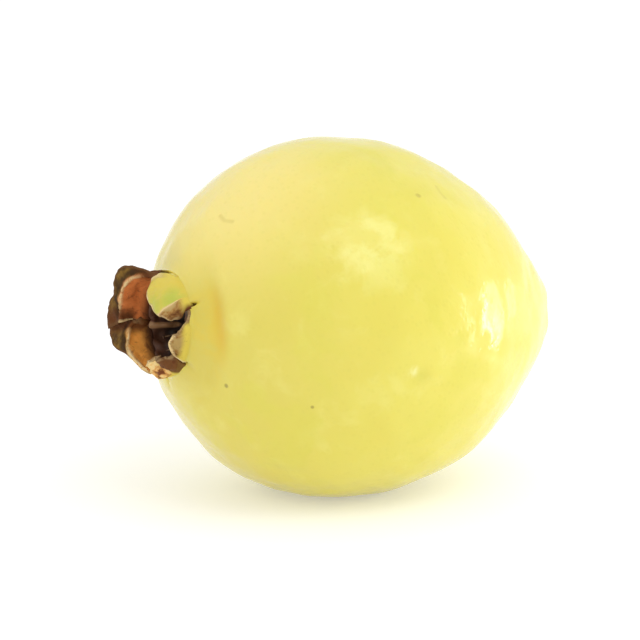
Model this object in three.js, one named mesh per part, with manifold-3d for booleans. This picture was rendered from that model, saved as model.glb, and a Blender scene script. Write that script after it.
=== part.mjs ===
// A ripe common guava as picked, lying on its side on a small flat spot.
// The fruit is one solid. The dried flower at its tip stays on it: five sepals round an open cup,
// and in the cup the flower disc, the stub of the style and the last stamens.
// At the other end the fruit keeps the corky stub of its stalk.
//
// Millimetres. Each piece is shaped in the fruit's own frame: +Y runs along the fruit's axis
// towards the flower, and the angle `around` that axis is 0 at the top, growing towards +X.
// The group at the end lays the fruit down, with the flower at -X and the stalk at +X.

import * as THREE from 'three';
import { mergeVertices } from 'three/addons/utils/BufferGeometryUtils.js';
import Module from 'manifold-3d';

const wasm = await Module();
wasm.setup();

// Fruit
const GIRTH_RADIUS = 27; // at the widest station, where `along` is 0
const STALK_LENGTH = 36; // widest station to the stalk's pole
const FLOWER_LENGTH = 28.2; // widest station to where the flower's shoulder would close
const STALK_TAPER = 1.6; // 1 is an ellipse, more is conical
const FLOWER_TAPER = 0.88;
const AXIS_TILT = 4; // degrees that the stalk end lies below level
const SPOT_RADIUS = 6; // of the flat spot that the fruit rests on
const RING_STEPS = 60; // faces around the fruit

// Dimple at the stalk's pole, and the pocket in it that holds the stalk's stub
const DIMPLE_DEPTH = 1.8;
const DIMPLE_RADIUS = 4.2;
const POCKET_RADIUS = 2.3;
const POCKET_DEPTH = 1.0;

// Neck below the flower, and the cup in it
const NECK_RADIUS = 7.9;
const NECK_BLEND = 5; // higher is a tighter fillet from shoulder to neck
const NECK_BASE = 26; // stations from here up are the neck's
const RIM_TOP = 29.1;
const RIM_THICKNESS = 1.6;
const RIM_ROUNDING = 0.2;
const NOTCH_DEPTH = 2.2; // the rim drops this much between two sepals
const NOTCH_SPREAD = 5; // degrees
const CUP_FLOOR = 22;
const CUP_FLOOR_RADIUS = 5.4;

// Between touching pieces
const GAP = 0.3;

// Sepals, each a lobe of the split calyx. `around` and `spread` are the sector of the rim that it
// grows from, in degrees. It leaves the rim at the angle lean[0] to the axis and goes on past its
// fold at lean[1], outwards positive, with the bend spread over `crisp` mm each way. At nine places
// across it, `rise` is how far up the lobe its fold lies and `beyond` how far its edge lies past
// that. `fan` widens, and `roll` curls in by so many degrees, its first and its last margin.
const SEPALS = {
  sepal_far_upper: {
    around: 40, spread: 113, lean: [3, 84], crisp: 0.5, fan: [0, 0.4], roll: [30, 0], tip: 0.55,
    rise: [2.7, 2.5, 2.8, 4.1, 4.8, 4.9, 4.7, 4.5, 4.2],
    beyond: [0.1, 0.2, 0.4, 1.5, 2.5, 2.5, 1.2, 3.9, 4.4],
  },
  sepal_far_lower: {
    around: 136, spread: 78, lean: [3, 80], crisp: 0.5, fan: [0.15, 0], roll: [30, 0], tip: 0.55,
    rise: [2.2, 2.8, 3.4, 3.7, 3.7, 3.4, 3.1, 2.9, 2.4],
    beyond: [2.0, 4.2, 4.4, 2.2, 0.5, 0.2, 0.2, 0.2, 0.2],
  },
  sepal_bottom: {
    around: 205, spread: 52, lean: [0, -55], crisp: 1.8, fan: [0, 0], roll: [20, 40], tip: 0.8,
    rise: [1.6, 2.2, 2.4, 2.4, 2.4, 2.4, 2.2, 1.8, 1.2],
    beyond: [1.0, 1.7, 1.9, 2.0, 2.0, 1.9, 1.9, 1.5, 0.8],
  },
  sepal_near_lower: {
    around: 265, spread: 60, lean: [0, -45], crisp: 1.6, fan: [0, 0], roll: [0, 0], tip: 1.1,
    rise: [1.2, 1.6, 2.0, 2.0, 1.8, 1.5, 1.3, 1.2, 1.2],
    beyond: [0.7, 0.7, 0.75, 1.0, 0.8, 0.7, 0.6, 0.6, 0.6],
  },
  sepal_near_upper: {
    around: 321, spread: 43, lean: [0, -92], crisp: 2.6, fan: [0, 0], roll: [50, 0], tip: 0.8,
    rise: [2.9, 3.1, 3.1, 3.1, 3.1, 3.1, 3.1, 3.1, 2.8],
    beyond: [0.1, 0.9, 2.0, 2.7, 2.95, 3.05, 3.2, 3.0, 0.9],
  },
};
const SEPAL_ROOT = 28.1; // station that the lengths up a lobe count from
const SEPAL_BASE_THICKNESS = 1.4;
const SEPAL_SIDE_GAP = 0.6;

// Dried parts in the cup
const DISC_THICKNESS = 0.9;
const STYLE_RADIUS = 0.5;
const STYLE_HEIGHT = 1.1;
const FILAMENT_RADIUS = 0.22;
const FILAMENT_RING = 4.75; // radius at which the stamens stand on the disc
const STAMENS = [
  { around: 22, height: 4.6, sway: 0.5 },
  { around: 70, height: 5.4, sway: -0.6 },
  { around: 116, height: 4.4, sway: 0.7 },
  { around: 158, height: 4.8, sway: -0.4 },
  { around: 204, height: 4.2, sway: 0.6 },
  { around: 262, height: 4.4, sway: -0.5 },
  { around: 322, height: 4.0, sway: 0.4 },
];

const radians = THREE.MathUtils.degToRad;

// Point in the fruit's frame, from an angle round the axis, a radius and a station along the axis.
function at(around, radius, along) {
  return new THREE.Vector3(radius * Math.sin(around), along, radius * Math.cos(around));
}

function smoothPlate(color, roughness) {
  return new THREE.MeshStandardMaterial({ color, roughness, metalness: 0 });
}

const skinMaterial = smoothPlate(0xefe07a, 0.42);
const sepalMaterial = smoothPlate(0x8c5a30, 0.75);
const driedMaterial = smoothPlate(0x3a2416, 0.85);
const filamentMaterial = smoothPlate(0x8a6a48, 0.8);
const corkMaterial = smoothPlate(0x7a5f3c, 0.9);

// ---- Fruit ----

// Radius of the smooth skin at a station: an egg with a conical stalk end, that runs into the neck.
function skinRadius(along) {
  const length = along < 0 ? STALK_LENGTH : FLOWER_LENGTH;
  const taper = along < 0 ? STALK_TAPER : FLOWER_TAPER;
  const body = GIRTH_RADIUS * Math.max(0, 1 - (along / length) ** 2) ** (taper / 2);
  if (along < 0) return body;
  return (body ** NECK_BLEND + NECK_RADIUS ** NECK_BLEND) ** (1 / NECK_BLEND);
}

// Slow swellings and flats that keep a grown fruit from being round, as a share of the radius.
function swelling(around, along) {
  const fade = Math.max(0, 1 - (along / STALK_LENGTH) ** 2);
  return fade * (0.010 * Math.sin(2 * around + 0.7)
    + 0.007 * Math.sin(3 * around - 1.1 + along / 22)
    + 0.004 * Math.cos(5 * around + along / 15));
}

// 1 in the middle of the notch between two sepals, falling to 0 under them.
function notch(around) {
  const sepals = Object.values(SEPALS);
  return Math.max(...sepals.map((s) => {
    const edge = radians(s.around + s.spread / 2);
    const away = Math.atan2(Math.sin(around - edge), Math.cos(around - edge));
    return Math.exp(-((away / radians(NOTCH_SPREAD)) ** 2));
  }));
}

// Half of the section through the fruit, from the stalk's pocket round to the floor of the cup.
function fruitOutline() {
  const dimple = (radius) => DIMPLE_DEPTH * Math.exp(-((radius / DIMPLE_RADIUS) ** 2));
  const outline = [];

  const pocketMouth = -STALK_LENGTH + dimple(POCKET_RADIUS);
  outline.push([0, pocketMouth + POCKET_DEPTH], [POCKET_RADIUS, pocketMouth + POCKET_DEPTH]);
  outline.push([POCKET_RADIUS, pocketMouth + 0.2]);

  const stations = 46;
  for (let i = 0; i <= stations; i++) {
    const turn = (i / stations) * Math.PI;
    const length = turn < Math.PI / 2 ? STALK_LENGTH : FLOWER_LENGTH;
    const along = -length * Math.cos(turn);
    const radius = skinRadius(along);
    if (radius > POCKET_RADIUS + 0.3 && along < NECK_BASE) outline.push([radius, along + dimple(radius)]);
  }

  const wallTop = NECK_RADIUS - RIM_THICKNESS;
  const rimSpring = RIM_TOP - RIM_ROUNDING;
  for (let along = NECK_BASE; along < rimSpring - 0.1; along += 0.45) {
    outline.push([skinRadius(along), along]);
  }
  outline.push([NECK_RADIUS, rimSpring], [NECK_RADIUS - RIM_ROUNDING, RIM_TOP]);
  outline.push([wallTop + RIM_ROUNDING, RIM_TOP], [wallTop, rimSpring]);

  const wallSteps = 4;
  for (let i = 1; i <= wallSteps; i++) {
    const share = i / wallSteps;
    outline.push([
      THREE.MathUtils.lerp(wallTop, CUP_FLOOR_RADIUS, share),
      THREE.MathUtils.lerp(rimSpring, CUP_FLOOR + 0.3, share),
    ]);
  }
  outline.push([CUP_FLOOR_RADIUS - 0.3, CUP_FLOOR], [0, CUP_FLOOR]);
  return outline.map(([radius, along]) => new THREE.Vector2(radius, along));
}

function fruitSkin() {
  const geometry = new THREE.LatheGeometry(fruitOutline(), RING_STEPS);
  const position = geometry.getAttribute('position');
  const point = new THREE.Vector3();
  for (let i = 0; i < position.count; i++) {
    point.fromBufferAttribute(position, i);
    const radius = Math.hypot(point.x, point.z);
    const around = Math.atan2(point.x, point.z);
    const grown = radius * (1 + swelling(around, point.y));
    const aboveNeck = point.y - NECK_BASE;
    const onRim = aboveNeck > 0 ? aboveNeck / (RIM_TOP - NECK_BASE) : 0;
    const along = point.y - onRim ** 3 * NOTCH_DEPTH * notch(around);
    const moved = radius > 0 ? at(around, grown, along) : at(0, 0, along);
    position.setXYZ(i, moved.x, moved.y, moved.z);
  }
  return geometry;
}

// ---- Solids and booleans ----

function solidOf(geometry) {
  const bare = geometry.index ? geometry.clone() : mergeVertices(geometry);
  bare.deleteAttribute('normal');
  bare.deleteAttribute('uv');
  const merged = mergeVertices(bare, 1e-3);
  return new wasm.Manifold(new wasm.Mesh({
    numProp: 3,
    vertProperties: merged.attributes.position.array,
    triVerts: new Uint32Array(merged.index.array),
  }));
}

function geometryOf(solid) {
  const mesh = solid.getMesh();
  const geometry = new THREE.BufferGeometry();
  geometry.setAttribute('position', new THREE.BufferAttribute(mesh.vertProperties, 3));
  geometry.setIndex(new THREE.BufferAttribute(mesh.triVerts, 1));
  geometry.computeVertexNormals();
  return geometry;
}

// Height of the fruit's axis over the table, at the widest station.
const AXIS_HEIGHT = Math.sqrt(GIRTH_RADIUS ** 2 - SPOT_RADIUS ** 2);

// Lays the fruit's own frame down on the table.
const layDown = new THREE.Matrix4()
  .makeTranslation(0, 0, AXIS_HEIGHT)
  .multiply(new THREE.Matrix4().makeRotationY(radians(AXIS_TILT)))
  .multiply(new THREE.Matrix4().makeRotationZ(Math.PI / 2));

// The fruit, with everything under the table's plane taken off: that leaves the flat spot.
function fruitGeometry() {
  const size = 4 * GIRTH_RADIUS;
  const under = new THREE.BoxGeometry(size, size, size);
  under.translate(0, 0, -size / 2);
  under.applyMatrix4(layDown.clone().invert());
  return geometryOf(solidOf(fruitSkin()).subtract(solidOf(under)));
}

// ---- Sepals ----

// A closed plate about a middle surface middle(u, v), with u and v from 0 to 1.
function plate(middle, thickness, stepsU, stepsV) {
  const small = 1e-3;
  const points = [];
  const columns = stepsV + 1;
  const layer = (stepsU + 1) * columns;
  for (const side of [1, -1]) {
    for (let i = 0; i <= stepsU; i++) {
      for (let j = 0; j <= stepsV; j++) {
        const u = i / stepsU;
        const v = j / stepsV;
        const alongU = middle(u + small, v).sub(middle(u - small, v));
        const alongV = middle(u, v + small).sub(middle(u, v - small));
        const normal = alongU.cross(alongV).normalize();
        const point = middle(u, v).addScaledVector(normal, (side * thickness(u, v)) / 2);
        points.push(point.x, point.y, point.z);
      }
    }
  }
  const faces = [];
  const quad = (a, b, c, d) => faces.push(a, b, c, a, c, d);
  const front = (i, j) => i * columns + j;
  const back = (i, j) => layer + front(i, j);
  for (let i = 0; i < stepsU; i++) {
    for (let j = 0; j < stepsV; j++) {
      quad(front(i, j), front(i + 1, j), front(i + 1, j + 1), front(i, j + 1));
      quad(back(i, j), back(i, j + 1), back(i + 1, j + 1), back(i + 1, j));
    }
    quad(front(i, 0), back(i, 0), back(i + 1, 0), front(i + 1, 0));
    quad(front(i + 1, stepsV), back(i + 1, stepsV), back(i, stepsV), front(i, stepsV));
  }
  for (let j = 0; j < stepsV; j++) {
    quad(front(0, j + 1), back(0, j + 1), back(0, j), front(0, j));
    quad(front(stepsU, j), back(stepsU, j), back(stepsU, j + 1), front(stepsU, j + 1));
  }
  const geometry = new THREE.BufferGeometry();
  geometry.setAttribute('position', new THREE.Float32BufferAttribute(points, 3));
  geometry.setIndex(faces);
  geometry.computeVertexNormals();
  return geometry;
}

// One lobe: it stands on the rim, hollow like the rim, and goes over its fold to its torn edge.
function sepalGeometry({ around, spread, lean, crisp, fan, roll, tip, rise, beyond }) {
  const rimRadius = NECK_RADIUS - RIM_THICKNESS / 2;
  const halfWidth = (rimRadius * radians(spread) - SEPAL_SIDE_GAP) / 2;
  const foot = RIM_TOP + GAP - SEPAL_ROOT;
  const outward = at(radians(around), 1, 0);
  const sideways = at(radians(around) + Math.PI / 2, 1, 0);
  const axis = new THREE.Vector3(0, 1, 0);
  const { smoothstep, lerp, clamp } = THREE.MathUtils;
  const recurving = lean[1] > 0;

  // Value of nine knots at a place across the lobe, from -1 to 1.
  const knot = (knots, across) => {
    const place = clamp(4 * across + 4, 0, 8);
    const first = Math.min(7, Math.floor(place));
    return lerp(knots[first], knots[first + 1], place - first);
  };
  const lengthAt = (u, across) => lerp(foot, knot(rise, across) + knot(beyond, across), u);
  const leanAt = (length, across) => {
    const crest = knot(rise, across);
    return radians(lerp(lean[0], lean[1], smoothstep(length, crest - crisp, crest + crisp)));
  };
  // How far out and how far up a strip of the lobe has come at a length along it.
  const reached = (length, across) => {
    const steps = 32;
    const point = new THREE.Vector2();
    for (let i = 0; i < steps; i++) {
      const bent = leanAt((length * (i + 0.5)) / steps, across);
      point.x += (length / steps) * Math.sin(bent);
      point.y += (length / steps) * Math.cos(bent);
    }
    return point;
  };
  // The foot's thick end leans too, so it stands higher by that.
  const lift = (across) => (SEPAL_BASE_THICKNESS / 2) * Math.abs(Math.sin(leanAt(foot, across)));
  // How far to the side and how far in the hollow section has come at a place across the lobe.
  const section = (u, across) => {
    const steps = 16;
    const point = new THREE.Vector2();
    for (let i = 0; i < steps; i++) {
      const place = (across * (i + 0.5)) / steps;
      const margin = place < 0 ? 0 : 1;
      const length = lengthAt(u, place);
      const widening = recurving ? 0 : fan[margin] * smoothstep(length, 0.5, 3.5);
      const width = halfWidth * (1 + widening);
      const flattening = recurving ? 0 : 0.4 * clamp((length - foot) / 8, 0, 1);
      const curl = radians(roll[margin]) * smoothstep(length, 0.2, 1.6) * smoothstep(Math.abs(place), 0.6, 1);
      const heading = (place * width * (1 - flattening)) / rimRadius + Math.sign(place) * curl;
      point.x += ((across * width) / steps) * Math.cos(heading);
      point.y += ((across * width) / steps) * Math.sin(heading);
    }
    return point;
  };
  const middle = (u, v) => {
    const across = 2 * v - 1;
    const length = lengthAt(u, across);
    const bent = leanAt(length, across);
    const { x: flare, y: climb } = reached(length, across);
    const { x: sway, y: dip } = section(u, across);
    const face = outward.clone().multiplyScalar(Math.cos(bent)).addScaledVector(axis, -Math.sin(bent));
    const hollow = outward.clone().lerp(face, recurving ? 0 : clamp((length - foot) / 8, 0, 1));
    const point = outward.clone().multiplyScalar(rimRadius + flare)
      .addScaledVector(axis, SEPAL_ROOT + climb + lift(across))
      .addScaledVector(sideways, sway)
      .addScaledVector(hollow, -dip);
    if (recurving) {
      const splay = (across * halfWidth) / rimRadius;
      const drift = (flare / 4) * across * fan[across < 0 ? 0 : 1];
      point.addScaledVector(outward, flare * (Math.cos(splay) - 1) - drift * Math.sin(splay));
      point.addScaledVector(sideways, flare * Math.sin(splay) + drift * Math.cos(splay));
    }
    return point;
  };
  const thickness = (u, v) => {
    const thinning = smoothstep(lengthAt(u, 2 * v - 1), 0.9, 2.6);
    return lerp(SEPAL_BASE_THICKNESS, tip, thinning);
  };
  return plate(middle, thickness, 14, 12);
}

// ---- Dried parts in the cup ----

const DISC_TOP = CUP_FLOOR + GAP + DISC_THICKNESS;

function discGeometry() {
  const radius = CUP_FLOOR_RADIUS - 2 * GAP;
  const bottom = CUP_FLOOR + GAP;
  const outline = [
    [0, bottom],
    [radius - 0.2, bottom],
    [radius, bottom + 0.2],
    [radius - 0.1, DISC_TOP - 0.1],
    [radius - 0.6, DISC_TOP],
    [radius / 2, DISC_TOP - 0.15],
    [0, DISC_TOP - 0.15],
  ];
  return new THREE.LatheGeometry(outline.map(([r, y]) => new THREE.Vector2(r, y)), 24);
}

function styleGeometry() {
  const geometry = new THREE.CylinderGeometry(STYLE_RADIUS * 0.7, STYLE_RADIUS, STYLE_HEIGHT, 12, 2);
  return geometry.translate(0, DISC_TOP + GAP + STYLE_HEIGHT / 2 - 0.15, 0);
}

// A wiry filament that rises off the disc close to the cup's wall and sways at its tip.
function stamenGeometry({ around, height, sway }) {
  const foot = DISC_TOP + GAP;
  const angle = radians(around);
  const path = new THREE.CatmullRomCurve3([
    at(angle, FILAMENT_RING - 0.15, foot),
    at(angle + 0.03 * sway, FILAMENT_RING + 0.15, foot + 0.35 * height),
    at(angle - 0.06 * sway, FILAMENT_RING + 0.3, foot + 0.7 * height),
    at(angle + 0.2 * sway, FILAMENT_RING, foot + height),
  ]);
  const section = new THREE.Shape();
  section.absarc(0, 0, FILAMENT_RADIUS, 0, 2 * Math.PI);
  return new THREE.ExtrudeGeometry(section, { extrudePath: path, steps: 12, curveSegments: 6 });
}

// ---- Stub of the stalk ----

// A corky plug in its pocket, with a raised ring and a hollow where the stalk broke off.
function stalkGeometry() {
  const radius = POCKET_RADIUS - GAP;
  const mouth = -STALK_LENGTH + DIMPLE_DEPTH * Math.exp(-((POCKET_RADIUS / DIMPLE_RADIUS) ** 2));
  const inner = mouth + POCKET_DEPTH - GAP;
  const crown = inner - 1.25;
  const outline = [
    [0, crown + 0.35],
    [radius * 0.4, crown + 0.3],
    [radius * 0.65, crown],
    [radius * 0.9, crown + 0.1],
    [radius, crown + 0.4],
    [radius, inner],
    [0, inner],
  ];
  return new THREE.LatheGeometry(outline.map(([r, y]) => new THREE.Vector2(r, y)), 24);
}

// ---- Assembly ----

const guava = new THREE.Group();
guava.applyMatrix4(layDown);

function addPiece(name, geometry, material) {
  const mesh = new THREE.Mesh(geometry, material);
  mesh.name = name;
  guava.add(mesh);
}

addPiece('fruit', fruitGeometry(), skinMaterial);
for (const [name, sepal] of Object.entries(SEPALS)) addPiece(name, sepalGeometry(sepal), sepalMaterial);
addPiece('flower_disc', discGeometry(), driedMaterial);
addPiece('style_stub', styleGeometry(), driedMaterial);
STAMENS.forEach((stamen, i) => addPiece(`stamen_${i + 1}`, stamenGeometry(stamen), filamentMaterial));
addPiece('stalk_stub', stalkGeometry(), corkMaterial);

export default guava;
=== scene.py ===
import math

import bpy
import numpy as np
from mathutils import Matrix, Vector


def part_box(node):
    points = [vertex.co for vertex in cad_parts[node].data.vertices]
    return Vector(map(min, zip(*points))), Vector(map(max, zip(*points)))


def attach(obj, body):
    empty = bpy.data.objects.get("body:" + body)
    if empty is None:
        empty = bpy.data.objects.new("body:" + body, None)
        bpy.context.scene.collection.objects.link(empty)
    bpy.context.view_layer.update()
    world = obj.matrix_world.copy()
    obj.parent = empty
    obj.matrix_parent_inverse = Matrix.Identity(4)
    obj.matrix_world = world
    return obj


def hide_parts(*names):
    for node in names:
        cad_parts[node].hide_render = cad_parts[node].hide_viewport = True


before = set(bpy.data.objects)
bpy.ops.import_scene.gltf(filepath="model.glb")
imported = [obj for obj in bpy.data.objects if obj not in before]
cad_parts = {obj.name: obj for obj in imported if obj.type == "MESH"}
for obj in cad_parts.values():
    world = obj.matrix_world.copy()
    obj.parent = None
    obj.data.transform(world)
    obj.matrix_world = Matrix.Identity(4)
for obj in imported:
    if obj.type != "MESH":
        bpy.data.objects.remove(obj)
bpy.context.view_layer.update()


# ---------------------------------------------------------------------------------------------
# Fruit. One grown body of flesh under a thin waxy skin: an egg with a conical stalk end, lying
# on its side on a small flat spot. At the flower end the skin runs up a short neck to a rim,
# torn into five by the lobes that it carries, round an open cup of dried tissue.
# ---------------------------------------------------------------------------------------------

mm = 0.001

# The fruit's own frame: along its axis towards the flower, up, and to the far side. Angles round
# the axis start at the top and grow towards the far side. Stations along it start at the heart,
# where the fruit is widest.
disc_low, disc_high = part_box("flower_disc")
stub_low, stub_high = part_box("stalk_stub")
disc_middle = (disc_low + disc_high) / 2
stub_middle = (stub_low + stub_high) / 2
axis = (disc_middle - stub_middle).normalized()
far = Vector((0, 1, 0))
upward = far.cross(axis) if far.cross(axis).z > 0 else axis.cross(far)
heart = stub_middle + axis * (stub_middle.x / -axis.x)

# Radii and stations, in mm. An end with a taper of 0.5 is half an ellipse; more is more pointed.
girth_radius = 27.0
stalk_length, stalk_taper = 36.0, 0.8
flower_length, flower_taper = 28.2, 0.44
neck_radius, neck_sharpness = 7.9, 5
neck_base, rim_top = 26.0, 28.75
lip_radius, lip_half_width, lip_height = 7.15, 0.72, 0.45
cup_mouth, cup_mouth_radius = 28.0, 6.3
cup_floor, cup_floor_radius, cup_corner = 22.0, 5.4, 0.5
dimple_depth, dimple_radius = 1.8, 4.2

# The tears in the rim: angle and half width in degrees, and depth as a share of the deepest. The
# last two are one tear, a narrow slit in a wide notch, and it looks darkest a little to one side,
# where the slit's painted shade lies.
deepest_tear = 2.3
tears = (
    (343, 3.2, 0.1), (96, 3.2, 0.3), (177, 3.2, 0.5),
    (233, 4.0, 0.45), (302.5, 2.2, 0.9), (294, 8.0, 0.2),
)
slit_angle, slit_width = 301.5, 1.7


def place(around, radius, along):
    """Points of the whole part, in mm, from angle, radius and station in the fruit's own frame."""
    around, radius, along = np.broadcast_arrays(around, radius, along)
    across = (np.cos(around)[..., None] * np.array(upward)
              + np.sin(around)[..., None] * np.array(far))
    return np.array(heart) / mm + along[..., None] * np.array(axis) + radius[..., None] * across


def place_at(turned, radius, along):
    """The same with the angle in degrees."""
    return place(math.radians(turned), radius, along)


def waves(points, size, seed, count=22):
    """Smooth random swellings of about one size, in mm, with a spread of about 1."""
    shortest, longest = 0.7, 1.5
    random = np.random.default_rng(seed)
    heading = random.normal(size=(3, count))
    lengths = size * random.uniform(shortest, longest, count)
    heading *= 2 * math.pi / (lengths * np.linalg.norm(heading, axis=0))
    phases = random.uniform(0, 2 * math.pi, count)
    return np.cos(points @ heading + phases).sum(-1) / math.sqrt(count / 2)


def between(low, high, value):
    """0 below low, 1 above high, smooth between. Low may be the larger."""
    share = np.clip((value - low) / (high - low), 0, 1)
    return share * share * (3 - 2 * share)


def bell(value, width):
    """1 where a value is 0, falling smoothly to nothing beyond its width either way."""
    return np.exp(-((value / width) ** 2))


def near(points, middle, size):
    """1 at a place, in mm, falling smoothly to nothing around it."""
    return bell(np.linalg.norm(points - middle, axis=2), size)


def turn_from(around, turned):
    """How far, in radians, angles lie from one in degrees, either way round."""
    angle = math.radians(turned)
    return np.abs(np.arctan2(np.sin(around - angle), np.cos(around - angle)))


def between_turns(low, high, around, turned):
    """The same as between, for how many degrees an angle lies from another."""
    return between(math.radians(low), math.radians(high), turn_from(around, turned))


def skin_radius(along):
    """The skin's radius at a station, from the two tapered ends and the neck."""
    stalk_share = np.maximum(0, 1 - (along / stalk_length) ** 2)
    flower_share = np.maximum(0, 1 - (along / flower_length) ** 2)
    flower_side = girth_radius * flower_share ** flower_taper
    necked = (flower_side ** neck_sharpness + neck_radius ** neck_sharpness) ** (1 / neck_sharpness)
    return np.where(along < 0, girth_radius * stalk_share ** stalk_taper, necked)


def fruit_outline():
    """Half of the section, from the stalk's pole to the middle of the cup: radius and station in
    even steps, and whether each place is in the cup."""
    skin_steps, lip_steps, wall_steps, floor_steps, even_steps = 600, 12, 20, 2, 262
    fine_above, fine_below, finer = 24.5, -34, 2.2
    turn = np.linspace(0, math.pi, skin_steps)
    along = -np.where(turn < math.pi / 2, stalk_length, flower_length) * np.cos(turn)
    radius = skin_radius(along)
    along = along + dimple_depth * bell(radius, dimple_radius)
    lip = np.linspace(0, math.pi, lip_steps)
    radius = np.concatenate([
        radius,
        lip_radius + lip_half_width * np.cos(lip),
        np.linspace(cup_mouth_radius, cup_floor_radius, wall_steps),
        [cup_floor_radius - cup_corner, 0.0],
    ])
    along = np.concatenate([
        along,
        rim_top - lip_height + lip_height * np.sin(lip),
        np.linspace(cup_mouth, cup_floor + cup_corner, wall_steps),
        [cup_floor, cup_floor],
    ])
    # Steps lie closer together where the neck, the rim and the dimple turn sharply. The cup
    # starts at the last place but one of the lip.
    step = np.hypot(np.diff(radius), np.diff(along))
    step = step * np.where((along[1:] > fine_above) | (along[1:] < fine_below), finer, 1.0)
    length = np.concatenate([[0], np.cumsum(step)])
    even = np.linspace(0, length[-1], even_steps)
    cup_start = length[-(2 + wall_steps + floor_steps)]
    return np.interp(even, length, radius), np.interp(even, length, along), even > cup_start


def swelling(around, along):
    """The slow swellings and flats that keep a grown fruit from being round, as shares of its
    radius: two, three and five to a turn."""
    fade = np.maximum(0, 1 - (along / stalk_length) ** 2)
    return fade * (
        0.010 * np.sin(2 * around + 0.7)
        + 0.007 * np.sin(3 * around - 1.1 + along / 22)
        + 0.004 * np.cos(5 * around + along / 15)
    )


def grid_mesh(name, points, faces, marks):
    """A smooth mesh object from points in mm, with float attributes for its material to read."""
    mesh = bpy.data.meshes.new(name)
    mesh.from_pydata((points * mm).tolist(), [], faces)
    for mark, values in marks.items():
        attribute = mesh.attributes.new(mark, "FLOAT", "POINT")
        attribute.data.foreach_set("value", values.astype(np.float32))
    mesh.polygons.foreach_set("use_smooth", [True] * len(mesh.polygons))
    mesh.update()
    piece = bpy.data.objects.new(name, mesh)
    bpy.context.collection.objects.link(piece)
    return piece


def turned_body(rows, columns):
    """Quads of a body of rings, with a triangle fan at each of its two poles."""
    ring = np.arange(columns)
    after = (ring + 1) % columns
    faces = []
    for row in range(rows - 1):
        low, high = 1 + row * columns, 1 + (row + 1) * columns
        faces += np.stack([low + ring, low + after, high + after, high + ring], 1).tolist()
    last = 1 + (rows - 1) * columns
    faces += np.stack([0 * ring, 1 + after, 1 + ring], 1).tolist()
    faces += np.stack([0 * ring + last + columns, last + ring, last + after], 1).tolist()
    return faces


columns = 330
radius, along, inside = fruit_outline()
around = np.linspace(0, 2 * math.pi, columns, endpoint=False)
around, radius = np.meshgrid(around, radius[1:-1])
along = np.repeat(along[1:-1, None], columns, 1)
in_cup = np.repeat(inside[1:-1, None], columns, 1).astype(float)

tear = np.max([
    depth * bell(turn_from(around, turned), math.radians(width)) for turned, width, depth in tears
], 0)
on_rim = np.clip((along - neck_base) / (rim_top - neck_base), 0, 1)
grown = radius * (1 + swelling(around, along))
skin = place(around, grown, along - on_rim ** 3 * deepest_tear * tear)
slope_along = np.gradient(skin, axis=0)
slope_around = (np.roll(skin, -1, 1) - np.roll(skin, 1, 1)) / 2
outward = np.cross(slope_around, slope_along)
outward /= np.linalg.norm(outward, axis=2)[..., None]

# The skin's relief, in mm: waves of three sizes, as height, size and seed, then lumps towards the
# stalk, and faint ribs at both ends.
skin_waves = ((0.13, 15, 3), (0.035, 5.5, 4), (0.012, 2.6, 5))
lump_height, rib_height = 0.06, 0.16
relief = sum(height * waves(skin, size, seed) for height, size, seed in skin_waves)
relief = relief + lump_height * waves(skin, 7, 6) * between(-12, -30, along)
flower_ribs = np.cos(5 * around + 0.6) * between(8, 24, along)
stalk_ribs = 0.7 * np.cos(7 * around) * between(-10, -32, along)
relief = relief + rib_height * (flower_ribs + stalk_ribs)

# A shallow arc runs round the neck, deepest as a crease on the near side, with a basin inside it.
# A dent lies beside the calyx, a small scar on the near side, and a shoulder nearer the stalk.
arc_radius, arc_width, arc_depth, crease_depth, basin_depth = 12.6, 1.1, 0.05, 0.18, 0.08
dent_depth, scar_depth, shoulder_height = 0.16, 0.16, 0.72
on_flower_side = along > 0
arc = bell(radius - arc_radius - 0.5 * np.cos(3 * around), arc_width) * on_flower_side
crease = arc * between_turns(36, 8, around, 283)
near_side = between_turns(84, 24, around, 268)
basin = between(13.5, 11.5, radius) * between(8.6, 10.0, radius) * on_flower_side * near_side
dent = near(skin, place_at(345, 18.0, 22.0), 3.6)
scar = near(skin, place_at(262.5, 27.0, -0.3), 1.3)
shoulder = near(skin, place_at(260, 23.4, -14.5), 6.5)
relief = relief - crease_depth * crease - arc_depth * arc - basin_depth * basin
relief = relief - dent_depth * dent - scar_depth * scar + shoulder_height * shoulder
body = (1 - in_cup) * between(flower_length, neck_base, along)
skin = skin + outward * (relief * body)[..., None]

# The cup's wall is crumpled, and one stout dried seam runs down it.
seam = bell(turn_from(around, 104), math.radians(6)) * in_cup * between(22.6, 24.5, along)
crumples = 0.12 * waves(skin, 1.6, 7) + 0.2 * waves(skin, 3.5, 8)
skin = skin + outward * (crumples * in_cup + 0.8 * seam)[..., None]

# The flat spot that it lies on.
skin[..., 2] = np.maximum(skin[..., 2], 0)

poles = np.array([place(0.0, 0.0, -stalk_length + dimple_depth), place(0.0, 0.0, cup_floor)])
points = np.concatenate([poles[:1], skin.reshape(-1, 3), poles[1:]])
rows = skin.shape[0]


def with_poles(values, first=0.0, last=0.0):
    """A mark's values over the grid, between its values at the two poles."""
    return np.concatenate([[first], np.broadcast_to(values, (rows, columns)).ravel(), [last]])


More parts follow.
